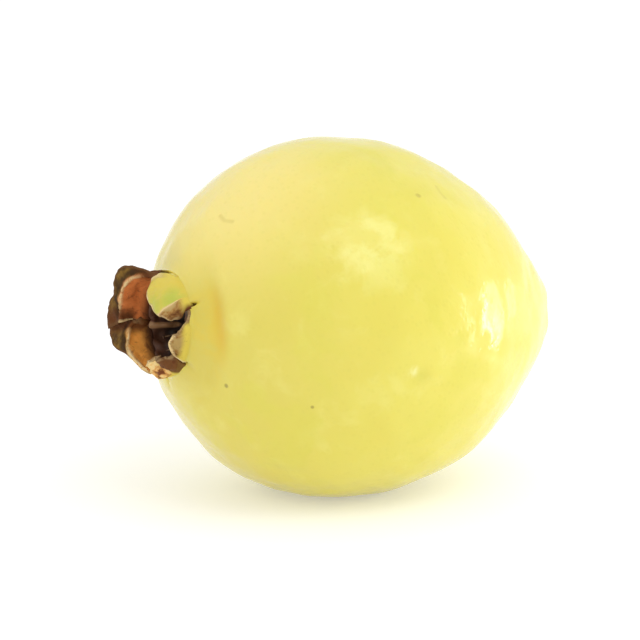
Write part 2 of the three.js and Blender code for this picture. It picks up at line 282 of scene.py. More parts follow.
dried_lip = between(7.25, 6.95, radius) * (along > 27) * between_turns(16, 30, around, 345)
# The slit's dark colour is painted shade inside it; round the other tears the rim is brown of its own.
slit_shade = bell(turn_from(around, slit_angle), math.radians(slit_width))
torn = np.maximum(slit_shade, 0.5 * tear) * between(27.3, 28.1, along)
basin_stain = between(14.5, 11.5, radius) * on_flower_side * (1 - in_cup) * near_side
fruit = grid_mesh("guava_fruit", points, turned_body(rows, columns), {
    "station": with_poles(along, -stalk_length, cup_floor),
    "cup": with_poles(np.maximum(in_cup, dried_lip), 0, 1),
    "torn": with_poles(torn * (1 - in_cup)),
    "crease": with_poles(crease),
    "basin": with_poles(basin_stain),
    "stalk_end": with_poles(between(-24, -34, along), 1),
    "scar": with_poles(scar),
    "seam": with_poles(seam),
})
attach(fruit, "root")
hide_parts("fruit")


def on_skin(turned, height):
    """The point of the finished skin nearest to an angle, in degrees, and a station."""
    out_of_reach = 99
    aside = np.hypot(turn_from(around, turned) * radius, along - height) + out_of_reach * in_cup
    return skin[np.unravel_index(np.argmin(aside), aside.shape)]


class Reading:
    """A socket of a material. Python arithmetic on it adds the Math nodes that do it."""

    def __init__(self, finish, socket):
        self.finish, self.socket = finish, socket

    def maths(self, operation, *values):
        return self.finish.node("ShaderNodeMath", {"operation": operation}, dict(enumerate(values)))

    def __add__(self, other):
        return self.maths("ADD", self, other)

    def __sub__(self, other):
        return self.maths("SUBTRACT", self, other)

    def __rsub__(self, other):
        return self.maths("SUBTRACT", other, self)

    def __mul__(self, other):
        return self.maths("MULTIPLY", self, other)

    __radd__ = __add__
    __rmul__ = __mul__

    def ramp(self, low, high):
        """0 below low, 1 above high, smooth between. Low may be the larger."""
        rising, falling = {0: self, 1: low, 2: high}, {0: self, 1: high, 2: low, 3: 1.0, 4: 0.0}
        settings = {"interpolation_type": "SMOOTHSTEP"}
        return self.finish.node("ShaderNodeMapRange", settings, rising if low < high else falling)

    def most(self, other):
        """The larger of the two."""
        return self.maths("MAXIMUM", self, other)


class Finish:
    """The nodes of a material, or of the room's world. node() adds any of them, from its type,
    its settings and the values or links of its sockets."""

    def __init__(self, name, kept_in=bpy.data.materials):
        self.block = kept_in.new(name)
        self.block.use_nodes = True
        self.tree = self.block.node_tree
        self.tree.nodes.clear()

    def node(self, kind, settings=None, sockets=None, output=0):
        made = self.tree.nodes.new(kind)
        for setting, value in (settings or {}).items():
            setattr(made, setting, value)
        for socket, value in (sockets or {}).items():
            if isinstance(value, Reading):
                self.tree.links.new(value.socket, made.inputs[socket])
            else:
                made.inputs[socket].default_value = value
        return Reading(self, made.outputs[output]) if made.outputs else made

    def mark(self, name):
        """One of the marks that grid_mesh gives a piece."""
        return self.node("ShaderNodeAttribute", {"attribute_name": name}, output="Fac")

    def mix(self, first, second, share):
        """Two colours mixed. Sockets 6 and 7 of the node are its colours, and output 2 is too."""
        first, second = ((*c, 1.0) if isinstance(c, tuple) else c for c in (first, second))
        sockets = {0: share, 6: first, 7: second}
        return self.node("ShaderNodeMix", {"data_type": "RGBA", "blend_type": "MIX"}, sockets, 2)

    def vector(self, operation, sockets, output=0):
        return self.node("ShaderNodeVectorMath", {"operation": operation}, sockets, output)

    def noise(self, size, detail=3.0, roughness=0.5, warp=0.0):
        """Clouds about `size` metres across, from 0 to 1."""
        return self.node("ShaderNodeTexNoise", None, {
            "Vector": self.place, "Scale": 1 / size,
            "Detail": detail, "Roughness": roughness, "Distortion": warp,
        }, "Fac")

    def cells(self, scale):
        """Distance from the nearest of many scattered points."""
        settings = {"feature": "F1", "distance": "EUCLIDEAN"}
        sockets = {"Vector": self.place, "Scale": scale}
        return self.node("ShaderNodeTexVoronoi", settings, sockets, "Distance")

    def bump(self, strength, depth, height):
        """A relief of the shading only, `depth` metres deep."""
        sockets = {"Strength": strength, "Distance": depth, "Height": height}
        return self.node("ShaderNodeBump", None, sockets)

    @property
    def place(self):
        """The place on the object, in metres."""
        return self.node("ShaderNodeTexCoord", output="Object")

    def surface(self, pieces, sockets):
        """Ends the material in one Principled shader, and puts it on the pieces."""
        shader = self.node("ShaderNodeBsdfPrincipled", None, sockets)
        self.node("ShaderNodeOutputMaterial", None, {"Surface": shader})
        for piece in pieces:
            piece.data.materials.append(self.block)


def spot(finish, middle, size, softness=0.5):
    """1 within a round spot of the skin, from its middle in mm and its radius in mm."""
    away = finish.vector("DISTANCE", {0: finish.place, 1: middle * mm}, "Value")
    return away.ramp(size * (1 + softness) * mm, size * (1 - softness) * mm)


def scratch(finish, start, end, width):
    """1 along a fine straight scratch between two places in mm, fading to each side."""
    clear, full = 1.8 * width * mm, 0.2 * width * mm
    run = (end - start) * mm
    away = finish.vector("SUBTRACT", {0: finish.place, 1: start * mm})
    share = finish.vector("DOT_PRODUCT", {0: away, 1: run / (run @ run)}, "Value")
    share = finish.node("ShaderNodeMapRange", None, {0: share})
    nearest = finish.vector("SCALE", {0: run, "Scale": share})
    return finish.vector("DISTANCE", {0: away, 1: nearest}, "Value").ramp(clear, full)


waxy = Finish("waxy_yellow_skin")
clouds = waxy.noise(0.026, 2.0)
mottle = waxy.noise(0.006, 4.0, 0.6, 0.4)
veins = waxy.noise(0.0035, 5.0, 0.65, 1.2)
green_mottle = waxy.noise(0.011, 3.0, 0.55, 0.5)
station = waxy.mark("station")

# Yellow from the stalk to the flower, under paler, greener and deeper clouds.
stalk_yellow, body_yellow = (0.84, 0.76, 0.18), (0.845, 0.755, 0.13)
flower_yellow, pale_yellow = (0.80, 0.69, 0.122), (0.93, 0.86, 0.25)
green_yellow, deep_yellow = (0.79, 0.72, 0.10), (0.82, 0.70, 0.10)
tint = waxy.mix(stalk_yellow, body_yellow, station.ramp(-26.0, -4.0))
tint = waxy.mix(tint, flower_yellow, station.ramp(4.0, 24.0))
tint = waxy.mix(tint, pale_yellow, mottle.ramp(0.5, 0.72) * 0.38)
tint = waxy.mix(tint, green_yellow, green_mottle.ramp(0.50, 0.66) * 0.55)
tint = waxy.mix(tint, deep_yellow, clouds.ramp(0.5, 0.3) * 0.5)

# A paler patch high on the near side, a painted sheen in place of the overhead lamp's reflection,
# and a warm blush over the calyx.
painted_sheen_yellow, blush_yellow = (0.96, 0.92, 0.30), (1.0, 0.82, 0.27)
patch = spot(waxy, place_at(306, 26.3, 6.8), 6.0, 0.6) * mottle.ramp(0.42, 0.58)
tint = waxy.mix(tint, painted_sheen_yellow, patch * 0.45)
blush = spot(waxy, place_at(350, 19.0, 20.0), 12, 0.9)
tint = waxy.mix(tint, blush_yellow, blush * 0.9)

# Stains: the basin and the crease round the neck, and the stalk's end. Then painted shade at the
# scar, and a painted glint beside it as a pale fleck.
ochre_stain, olive_stain = (0.78, 0.60, 0.065), (0.74, 0.61, 0.09)
crease_orange, stalk_olive = (0.79, 0.53, 0.04), (0.70, 0.60, 0.14)
scar_shade_olive, painted_glint_cream = (0.72, 0.66, 0.10), (0.98, 0.94, 0.42)
basin_tint = waxy.mix(ochre_stain, olive_stain, mottle.ramp(0.4, 0.6))
tint = waxy.mix(tint, basin_tint, waxy.mark("basin") * 0.8)
tint = waxy.mix(tint, crease_orange, waxy.mark("crease") * 0.8)
tint = waxy.mix(tint, stalk_olive, waxy.mark("stalk_end") * (0.2 + 0.4 * mottle))
tint = waxy.mix(tint, scar_shade_olive, waxy.mark("scar") * 0.5)
painted_glint = spot(waxy, place_at(264.5, 27.0, 1.2), 0.8, 0.7) * veins.ramp(0.35, 0.6)
tint = waxy.mix(tint, painted_glint_cream, painted_glint * 0.7)

# Pores and small specks all over, three specks with places of their own, and two scratches.
pore_olive, speck_brown = (0.70, 0.63, 0.10), (0.30, 0.22, 0.04)
scratch_olive, scratch_width = (0.60, 0.50, 0.09), 0.30
pores = waxy.cells(900.0).ramp(0.42, 0.1)
tint = waxy.mix(tint, pore_olive, pores * 0.10)
speck = waxy.cells(95.0).ramp(0.030, 0.012) * waxy.noise(0.02, 1.0).ramp(0.5, 0.6)
for turned, height, size, dark in (
    (242, 24.6, 0.32, 1.0), (323, -3.5, 0.42, 0.45), (249, 14.9, 0.25, 0.9),
):
    speck = speck.most(spot(waxy, on_skin(turned, height), size) * dark)
tint = waxy.mix(tint, speck_brown, speck * 0.7)
scratched = 0.0 * mottle
for course in (
    ((330, -8.1), (327, -8.1), (323.5, -8.4)),
    ((348, 22.6), (343, 22.7), (338, 22.2)),
):
    for start, end in zip(course, course[1:]):
        line = scratch(waxy, on_skin(*start), on_skin(*end), scratch_width)
        scratched = scratched.most(line)
tint = waxy.mix(tint, scratch_olive, scratched * (0.08 + 0.5 * mottle))

# The torn rim, brown of its own and darkened with painted shade in its slit and notches, and the
# dried wall of the cup: darker downwards, flecked, with a paler seam.
torn_and_shade_brown, wall_brown, floor_brown = (0.14, 0.062, 0.018), (0.11, 0.040, 0.016), (0.030, 0.016, 0.010)
wall_fleck, seam_tan = (0.16, 0.06, 0.025), (0.44, 0.24, 0.11)
cup = waxy.mark("cup")
tint = waxy.mix(tint, torn_and_shade_brown, waxy.mark("torn").ramp(0.15, 0.6))
dried = waxy.mix(wall_brown, floor_brown, station.ramp(28.0, 25.0))
dried = waxy.mix(dried, wall_fleck, waxy.noise(0.0016, 4.0).ramp(0.5, 0.7) * 0.5)
dried = waxy.mix(dried, seam_tan, waxy.mark("seam").ramp(0.4, 0.8))
tint = waxy.mix(tint, dried, cup)

skin_height = 0.5 * veins + 0.6 * mottle - 0.2 * pores - 1.0 * speck
waxy.surface([fruit], {
    "Base Color": tint,
    "Roughness": 0.10 + 0.11 * veins + 0.4 * cup,
    "Normal": waxy.bump(0.13, 0.0004, skin_height),
    "Subsurface Weight": 0.25,
    "Subsurface Radius": (1.0, 0.75, 0.30),
    "Subsurface Scale": 0.0025,
})


# ---------------------------------------------------------------------------------------------
# Sepals. The calyx tore into five lobes as the flower opened, and they dried: thin, stiff and
# leathery, yellow where each grows out of the rim between two tears, and brown beyond, with a
# pale torn edge. The two far ones fold back, and the others lean in over the cup.
# ---------------------------------------------------------------------------------------------

# The ring that the lobes stand on, and how far their feet reach down into the rim, in mm.
sepal_root, sepal_rim, buried = 28.1, 7.1, 0.6


def smoothed(knots, across):
    """Nine values, evenly spaced from -1 to 1, drawn as a smooth line over the places across."""
    half, width = 6, 3.2
    weights = bell(np.arange(-half, half + 1), width)
    line = np.interp(4 * across + 4, range(9), knots)
    return np.convolve(np.pad(line, half, "edge"), weights / weights.sum(), "valid")


def sepal(node, middle, spread, rise, beyond, lean, crisp, fan, roll, crumpled, thick,
          fresh, withered, warm, dried_and_shaded, pale_sides, painted_crest_highlight, seed):
    """One lobe over its CAD node: a thin closed plate, folded, hollow, wrinkled and torn-edged.

    Lengths are in mm and angles in degrees. Places across the lobe run from -1 to 1, the way
    that angles grow. The lobe stands round its middle angle, spread wide. rise is how far the
    fold lies up the lobe, and beyond how far its torn edge lies past that, each at nine places
    across. lean is the slope outwards below and past the fold, which takes twice crisp to turn.
    fan widens each side, roll curls each margin, crumpled is how rough its faces are, and thick
    is how thick it is at its foot and at its tip.

    fresh is how little its outer face has dried, past the withered place across; before that it
    is a quarter as fresh. warm is how orange its inner face is. It is dark outside the two
    dried_and_shaded places across: partly the dried tissue's own brown, and partly painted shade
    under curled margins, in notches between lobes and on flaps folded back. pale_sides is how much
    paler its torn margins are, and painted_crest_highlight how bright a painted highlight along its
    fold is."""
    steps, lanes = 96, 72
    recurving = lean[1] > 0
    random = np.random.default_rng(seed)
    across = np.linspace(-1, 1, lanes + 1)
    rise, beyond = smoothed(rise, across), smoothed(beyond, across)
    ragged = sum(
        random.uniform(0.4, 1) * np.sin(k * across + random.uniform(0, 6)) / k ** 0.8
        for k in (5, 8, 13, 21, 34)
    )
    beyond = np.maximum(0.1, beyond * (1 + 0.10 * ragged) + 0.12 * ragged * (beyond > 1))
    rise = rise + 0.05 * ragged

    # Up the lobe: straight, then folded out or in, as a course of climb and flare.
    up, aside = np.meshgrid(np.linspace(0, 1, steps + 1), across, indexing="ij")
    length = up * (rise + beyond + buried) - buried
    folded = between(rise - crisp, rise + crisp, length)
    leans = np.radians(lean[0] + (lean[1] - lean[0]) * folded)
    step = np.diff(length, axis=0)
    mean = (leans[1:] + leans[:-1]) / 2
    none = np.zeros((1, lanes + 1))
    climb = np.concatenate([none, np.cumsum(step * np.cos(mean), 0)]) - buried
    flare = np.concatenate([none, np.cumsum(step * np.sin(mean), 0)])

    # Across the lobe: hollow like the rim it grew from, with margins that roll.
    half = sepal_rim * math.radians(spread) / 2
    spreading = 0.0 if recurving else between(0.5, 3.5, length)
    wide = half * (1 + np.where(aside < 0, fan[0], fan[1]) * spreading)
    far_up = 0.0 * length if recurving else np.clip(length / 8, 0, 1)
    margin = between(0.6, 1.0, np.abs(aside))
    rolling = np.where(aside < 0, math.radians(roll[0]), math.radians(roll[1]))
    rolling = rolling * between(0.2, 1.6, length)
    heading = aside * wide * (1 - 0.4 * far_up) / sepal_rim + np.sign(aside) * rolling * margin
    pace = 2 / lanes * wide
    sway = np.cumsum(pace * np.cos(heading), 1) - pace / 2 * np.cos(heading)
    dip = np.cumsum(pace * np.sin(heading), 1) - pace / 2 * np.sin(heading)
    sway, dip = sway - sway[:, [lanes // 2]], dip - dip[:, [lanes // 2]]

    # The middle surface of the lobe, in the part's frame.
    origin, along_axis = place(0.0, 0.0, 0.0), np.array(axis)
    out = place_at(middle, 1.0, 0.0) - origin
    side = place_at(middle + 90, 1.0, 0.0) - origin
    face = np.cos(leans)[..., None] * out - np.sin(leans)[..., None] * along_axis
    hollow = (1 - far_up)[..., None] * out + far_up[..., None] * face
    sheet = origin + (sepal_rim + flare)[..., None] * out
    sheet = sheet + (sepal_root + climb)[..., None] * along_axis
    if recurving:
        splay = aside * half / sepal_rim
        drift = flare / 4 * aside * np.where(aside < 0, fan[0], fan[1])
        sheet = sheet + (flare * (np.cos(splay) - 1) - drift * np.sin(splay))[..., None] * out
        sheet = sheet + (flare * np.sin(splay) + drift * np.cos(splay))[..., None] * side
    sheet = sheet + sway[..., None] * side - dip[..., None] * hollow

    # Dried tissue crumples: ridges along the lobe, and creases across it.
    loose = between(0.5, 2.5, length) * crumpled
    ridges = (0.12 * np.sin(aside * 9 + 1.5 * up + seed)
              + 0.08 * np.sin(aside * 17 - 2 * up + 2 * seed))
    crumple = 0.20 * waves(sheet, 3.0, seed) + 0.10 * waves(sheet, 1.3, seed + 1)
    sheet = sheet + face * ((ridges + crumple) * loose)[..., None]

    # Where the torn edge, the part past the fold and the fold's own crest lie, with a painted
    # highlight along the crest, and painted shade in the crease just past the fold.
    to_side = (1 - np.abs(aside)) * half
    to_tip = rise + beyond - length
    edge_width = 0.26 + 0.08 * np.sin(11 * aside + 5 * up + seed)
    side_edge = between(2 * edge_width, 0.5 * edge_width, to_side) * between(1.2, 2.6, length)
    grown_out = between(1.4, 2.8, rise + beyond) if recurving else 1.0
    tip_edge = between(2 * edge_width, 0.5 * edge_width, to_tip) * grown_out
    edge = np.maximum(side_edge, tip_edge)
    standing = between(1.0, 2.4, rise) * recurving
    recurved = between(0.05, 0.45, length - rise) * standing
    crest = bell(length - rise, 0.15) * standing
    painted_fold_shade = bell(length - rise - 0.75, 0.4) * standing

    # Both faces, closed round the margin.
    depth = thick[1] + (thick[0] - thick[1]) * between(2.6, 0.9, length)
    depth = (depth - 0.5 * between(-0.05, -0.5, length)) * (1 - 0.35 * recurved)
    slope_up, slope_aside = np.gradient(sheet, axis=0), np.gradient(sheet, axis=1)
    normal = np.cross(slope_aside, slope_up)
    normal /= np.maximum(1e-9, np.linalg.norm(normal, axis=2))[..., None]
    grain = 0.035 * waves(sheet, 0.8, seed + 2)
    outer = sheet + normal * (depth / 2 + grain * loose)[..., None]
    inner = sheet - normal * (depth / 2 + 0.32 * crest * (1 + 0.3 * ragged))[..., None]
    count = (steps + 1) * (lanes + 1)
    out_number = np.arange(count).reshape(steps + 1, lanes + 1)
    in_number = count + out_number
    faces = []

    def patch(a, b, c, d):
        """Adds quads, from four arrays of corners."""
        faces.extend(np.stack([a.ravel(), b.ravel(), c.ravel(), d.ravel()], 1).tolist())

    patch(out_number[:-1, :-1], out_number[:-1, 1:], out_number[1:, 1:], out_number[1:, :-1])
    patch(in_number[:-1, :-1], in_number[1:, :-1], in_number[1:, 1:], in_number[:-1, 1:])
    for loop in (out_number[::-1, 0], out_number[0, :], out_number[:, -1], out_number[-1, ::-1]):
        patch(loop[:-1], count + loop[:-1], count + loop[1:], loop[1:])

    # How fresh, how dark and how much paler each place is. A lobe that folds back is dark only round
    # its fold and past it. The dark is partly the dried tissue's own brown and partly painted shade
    # under curled margins, in notches and on folded-back flaps.
    live = aside + 0.06 * ragged - withered
    freshness = fresh * np.maximum(0.25, between(-0.03, 0.03, live))
    dark = np.maximum(between(dried_and_shaded[0] + 0.2, dried_and_shaded[0] - 0.1, aside),
                      between(dried_and_shaded[1] - 0.2, dried_and_shaded[1] + 0.1, aside))
    if recurving:
        dark = dark * between(rise - 2.6, rise - 1.4, length) * standing
    # The torn margins are paler of their own; along the fold's crest the paleness is a painted
    # highlight.
    pale_edge = edge * np.where(aside < 0, pale_sides[0], pale_sides[1]) * (1 - recurved)
    pale_and_highlit = np.maximum(pale_edge, crest * painted_crest_highlight * (1 - dark))
    pale_and_highlit = np.maximum(pale_and_highlit, bell(live, 0.04) * between(1.5, 2.5, length))

    def both(outer_value, inner_value):
        """A mark's values over the outer face and then the inner one."""
        values = (outer_value, inner_value)
        return np.concatenate([np.broadcast_to(value, up.shape).ravel() for value in values])

    points = np.concatenate([outer.reshape(-1, 3), inner.reshape(-1, 3)])
    piece = grid_mesh(node + "_dried", points, faces, {
        "length": both(length, length),
        "edge": both(edge, edge),
        "pale_and_highlit": both(pale_and_highlit, pale_and_highlit),
        "inner": both(0.0, grown_out),
        "recurved": both(recurved, recurved),
        "fresh": both(freshness, 0.0),
        "warm": both(warm, warm),
        "dried_and_shaded": both(dark, dark),
        "painted_fold_shade": both(painted_fold_shade, painted_fold_shade),
    })
    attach(piece, "root")
    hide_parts(node)
    return piece


# A place this far across lies past the margin, so what starts there never shows.
never = 2.0
sepals = [
    sepal("sepal_far_upper", middle=40, spread=114,
          rise=(0.3, 0.8, 2.7, 4.1, 4.8, 4.9, 4.7, 4.5, 4.2),
          beyond=(0.1, 0.1, 0.4, 1.5, 2.5, 2.5, 1.4, 3.7, 3.5),
          lean=(3, 84), crisp=0.5, fan=(0.0, 1.5), roll=(30, 0), crumpled=0.5, thick=(1.58, 0.55),
          fresh=0.0, withered=-never, warm=0.0, dried_and_shaded=(-0.33, 0.8),
          pale_sides=(0.0, 0.9), painted_crest_highlight=1.0, seed=11),
    sepal("sepal_far_lower", middle=135, spread=82,
          rise=(2.2, 2.8, 3.4, 3.7, 3.7, 3.4, 3.1, 2.9, 2.4),
          beyond=(3.6, 4.7, 4.6, 2.4, 0.5, 0.2, 0.2, 0.2, 0.2),
          lean=(3, 80), crisp=0.5, fan=(0.8, 0.0), roll=(60, 0), crumpled=0.5, thick=(1.58, 0.55),
          fresh=0.0, withered=-never, warm=1.0, dried_and_shaded=(-0.65, never),
          pale_sides=(0.2, 1.0), painted_crest_highlight=1.0, seed=23),
    sepal("sepal_bottom", middle=205, spread=52,
          rise=(1.6, 2.2, 2.4, 2.4, 2.4, 2.4, 2.3, 2.1, 0.9),
          beyond=(1.0, 1.7, 1.9, 2.0, 2.0, 1.9, 1.9, 1.6, 0.9),
          lean=(0, -55), crisp=1.8, fan=(0.1, 0.1), roll=(20, 40), crumpled=1.6, thick=(1.58, 0.8),
          fresh=0.5, withered=-never, warm=1.0, dried_and_shaded=(-never, 0.42),
          pale_sides=(1.0, 0.3), painted_crest_highlight=0.0, seed=31),
    sepal("sepal_near_lower", middle=266, spread=61,
          rise=(0.1, 1.0, 2.0, 2.0, 1.8, 1.3, 0.5, 0.1, 0.1),
          beyond=(0.1, 0.5, 0.75, 1.0, 0.6, 0.3, 0.2, 0.1, 0.1),
          lean=(0, -45), crisp=1.6, fan=(0.0, 0.0), roll=(0, 0), crumpled=0.6, thick=(1.58, 1.2),
          fresh=0.23, withered=-never, warm=0.5, dried_and_shaded=(-never, 0.55),
          pale_sides=(1.0, 0.35), painted_crest_highlight=0.0, seed=47),
    sepal("sepal_near_upper", middle=320, spread=45,
          rise=(2.9, 3.1, 3.1, 3.1, 3.1, 3.1, 3.1, 3.1, 2.8),
          beyond=(0.1, 0.9, 2.0, 2.7, 2.95, 3.05, 3.2, 3.0, 0.9),
          lean=(0, -92), crisp=2.6, fan=(0.43, 0.8), roll=(90, 0), crumpled=0.4, thick=(1.58, 0.8),
          fresh=1.0, withered=-0.42, warm=0.2, dried_and_shaded=(-0.84, never),
          pale_sides=(0.6, 1.0), painted_crest_highlight=0.0, seed=59),
]

leathery = Finish("dried_calyx")
length, edge, pale_and_highlit, inner, fresh, warm, recurved, dried_and_shaded, painted_fold_shade = (
    leathery.mark(name) for name in (
        "length", "edge", "pale_and_highlit", "inner", "fresh", "warm", "recurved", "dried_and_shaded", "painted_fold_shade",
    )
)
blotch = leathery.noise(0.0022, 5.0, 0.6, 0.6)
fibre = leathery.noise(0.0006, 4.0, 0.6, 1.0)

# The outer face: yellow at the foot, then brown, crumbly tan or still green.
foot_yellow, living_green = (0.75, 0.60, 0.10), (0.54, 0.57, 0.09)
umber, ochre_brown = (0.085, 0.040, 0.007), (0.24, 0.130, 0.022)
rust, straw, cream = (0.20, 0.055, 0.012), (0.82, 0.42, 0.12), (0.95, 0.70, 0.30)
green_part = spot(leathery, place_at(311, 7.2, 30.4), 1.8, 0.8)
green_part = green_part.most(0.8 * spot(leathery, place_at(318, 4.6, 31.8), 1.7, 0.8))
green = leathery.mix(foot_yellow, living_green, green_part * blotch.ramp(0.25, 0.5))
brown = leathery.mix(umber, ochre_brown, blotch.ramp(0.40, 0.64))
crumbly = leathery.mix(rust, straw, blotch.ramp(0.36, 0.50))
crumbly = leathery.mix(crumbly, cream, blotch.ramp(0.46, 0.57))
outer_face = leathery.mix(brown, crumbly, fresh.ramp(0.1, 0.45))
outer_face = leathery.mix(foot_yellow, outer_face, length.ramp(0.7, 1.8))
outer_face = leathery.mix(outer_face, green, fresh.ramp(0.55, 0.95))

# The inner face: red-brown or orange, blotched, dark at the foot, and brown where it recurves.
red_brown, orange_brown = (0.66, 0.195, 0.05), (0.84, 0.36, 0.065)
blotch_brown, foot_brown = (0.16, 0.045, 0.015), (0.07, 0.026, 0.012)
inner_face = leathery.mix(red_brown, orange_brown, warm)
inner_face = leathery.mix(inner_face, blotch_brown, blotch.ramp(0.5, 0.36) * 0.6)
inner_face = leathery.mix(foot_brown, inner_face, length.ramp(0.0, 2.2))
inner_face = leathery.mix(inner_face, brown, recurved)

# Both faces: dark parts, partly dried brown and partly painted shade; dark fibres; painted shade
# in the crease behind the fold; and the edge, brown, with cream on torn margins and a painted
# highlight along the fold's crest.
dried_and_shade_brown, fibre_brown = (0.13, 0.040, 0.010), (0.065, 0.030, 0.013)
fold_shade_brown, edge_brown, cream_edge_and_highlight = (0.045, 0.020, 0.007), (0.15, 0.065, 0.022), (0.80, 0.60, 0.30)
lobe_tint = leathery.mix(outer_face, inner_face, inner)
lobe_tint = leathery.mix(lobe_tint, dried_and_shade_brown, dried_and_shaded * (0.7 + 0.5 * blotch))
lobe_tint = leathery.mix(lobe_tint, fibre_brown, fibre.ramp(0.58, 0.72) * 0.4 * (1.0 - fresh))
lobe_tint = leathery.mix(lobe_tint, fold_shade_brown, painted_fold_shade * (0.4 + 0.6 * fibre))
lobe_tint = leathery.mix(lobe_tint, edge_brown, edge * (1.0 - pale_and_highlit))
lobe_tint = leathery.mix(lobe_tint, cream_edge_and_highlight, pale_and_highlit * fibre.ramp(0.72, 0.45))
lobe_height = (0.6 * blotch + 0.5 * fibre) * (1.0 - 0.7 * fresh)
leathery.surface(sepals, {
    "Base Color": lobe_tint,
    "Roughness": 0.78 - 0.40 * fresh,
    "Specular IOR Level": 0.15,
    "Normal": leathery.bump(0.5, 0.0003, lobe_height),
    "Subsurface Weight": 0.08,
    "Subsurface Radius": (1.0, 0.6, 0.3),
    "Subsurface Scale": 0.001,
})


# ---------------------------------------------------------------------------------------------
# Flower disc and style. On the cup's floor lies the dried disc of the flower: dark, brittle,
# ridged round its edge and hollow in the middle, where the broken stub of the style stands.
# ---------------------------------------------------------------------------------------------

disc_bottom = cup_floor + 0.15
disc_radius = 5.15


def turned_piece(name, node, base, outline, columns, relief, tilt=(0.0, 0.0)):
    """A closed body of rings about the fruit's axis. The outline is radius and height over a base
    station; the relief is two functions, which roughen radius and station; the tilt leans the
    piece to the far side and up."""
    finest, fewest = 0.11, 24
    outline = np.array(outline, float) + (0.0, base)
    step = np.concatenate([[0], np.cumsum(np.hypot(*np.diff(outline, axis=0).T))])
    even = np.linspace(0, step[-1], max(fewest, int(step[-1] / finest)))
    radius, along = np.interp(even, step, outline[:, 0]), np.interp(even, step, outline[:, 1])
    around = np.linspace(0, 2 * math.pi, columns, endpoint=False)
    around, radius = np.meshgrid(around, radius[1:-1])
    along = np.repeat(along[1:-1, None], columns, 1)
    smooth = place(around, radius, along)
    rough_radius = np.maximum(0.02, radius + relief[0](smooth, around, radius))
    shell = place(around, rough_radius, along + relief[1](smooth, around, radius))
    slant = tilt[0] * np.array(far) + tilt[1] * np.array(upward)
    shell = shell + (along - outline[0, 1])[..., None] * slant
    ends = [place(0.0, 0.0, outline[0, 1]), shell[-1].mean(0)]
    points = np.concatenate([[ends[0]], shell.reshape(-1, 3), [ends[1]]])
    reach = np.concatenate([[0.0], radius.ravel(), [0.0]])
    faces = turned_body(shell.shape[0], columns)
    if outline[-1, 1] < outline[0, 1]:
        faces = [face[::-1] for face in faces]
    piece = grid_mesh(name, points, faces, {"reach": reach})
    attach(piece, "root")
    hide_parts(node)
    return piece


def disc_ridges(at, turn, reach):
    """The fine ridges of the disc, which fade towards its middle."""
    fine = 0.07 * np.sin(23 * turn) + 0.06 * np.sin(41 * turn + reach)
    return between(1.0, 4.5, reach) * fine + 0.07 * waves(at, 1.3, 72)


disc = turned_piece(
    "dried_flower_disc", "flower_disc", disc_bottom,
    [(0, 0), (disc_radius, 0), (disc_radius, 0.7), (4.8, 1.05),
     (4.2, 0.95), (3.2, 0.55), (1.4, 0.5), (0, 0.6)],
    160,
    (lambda at, turn, reach: 0.05 * waves(at, 1.0, 71), disc_ridges),
)
style = turned_piece(
    "dried_style", "style_stub", disc_bottom,
    [(0, 0.4), (0.62, 0.45), (0.5, 0.75), (0.36, 1.9), (0.42, 2.15), (0.25, 2.3), (0, 2.2)],
    40,
    (lambda at, turn, reach: 0.05 * np.sin(5 * turn) + 0.03 * waves(at, 0.5, 73),
     lambda at, turn, reach: 0.05 * waves(at, 0.4, 74)),
    (0.10, -0.12),
)
brittle = Finish("dried_flower_tissue")
crumb = brittle.noise(0.0007, 5.0, 0.65, 0.5)
disc_dark, disc_brown, disc_edge = (0.030, 0.017, 0.011), (0.15, 0.075, 0.035), (0.30, 0.16, 0.085)
disc_tint = brittle.mix(disc_dark, disc_brown, crumb.ramp(0.45, 0.72))
on_edge = brittle.mark("reach").ramp(4.0, 4.9)
disc_tint = brittle.mix(disc_tint, disc_edge, on_edge * crumb.ramp(0.4, 0.65))
brittle.surface([disc, style], {
    "Base Color": disc_tint,
    "Roughness": 0.75 + 0.15 * crumb,
    "Normal": brittle.bump(0.7, 0.0003, crumb),
})


# ---------------------------------------------------------------------------------------------
# Stamens. The flower had hundreds; a few dry wiry filaments are left, tan and bent, each on the
# rim of the disc, two of them still with the shrivelled anther at the tip.
# ---------------------------------------------------------------------------------------------

